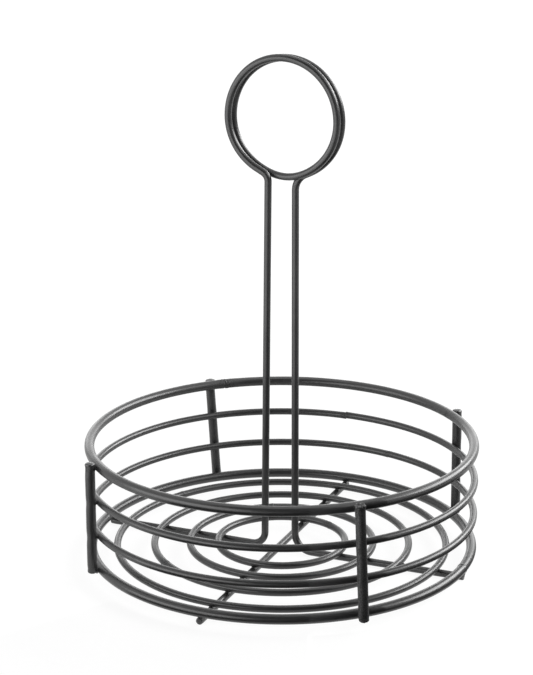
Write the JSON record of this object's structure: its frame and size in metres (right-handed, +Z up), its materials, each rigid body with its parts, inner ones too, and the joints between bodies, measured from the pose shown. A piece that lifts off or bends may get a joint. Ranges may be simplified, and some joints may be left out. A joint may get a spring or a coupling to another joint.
{
  "type": "condiment holder",
  "caption": "Round wire condiment holder: a ring floor, a low hooped wall on outside uprights and a tall central twin-post handle ending in a coiled finger loop.",
  "frame": {"origin": "on the table under the rack's axis, at the middle of its base", "axes": "+Z up the handle; +X to the right along the handle's legs; +Y to the back along the cross wire"},
  "size_m": [0.1948, 0.1948, 0.251],
  "materials": {
    "black_coat": "satin"
  },
  "bodies": {
    "root": {"handle_wire": "black_coat", "cross_wire": "black_coat", "floor_ring_1": "black_coat", "floor_ring_2": "black_coat", "floor_ring_3": "black_coat", "floor_ring_4": "black_coat", "base_ring": "black_coat", "lower_hoop": "black_coat", "upper_hoop": "black_coat", "rim_ring": "black_coat", "upright_front_left": "black_coat", "upright_front_right": "black_coat", "upright_back_right": "black_coat", "upright_back_left": "black_coat"}
  },
  "joints": []
}
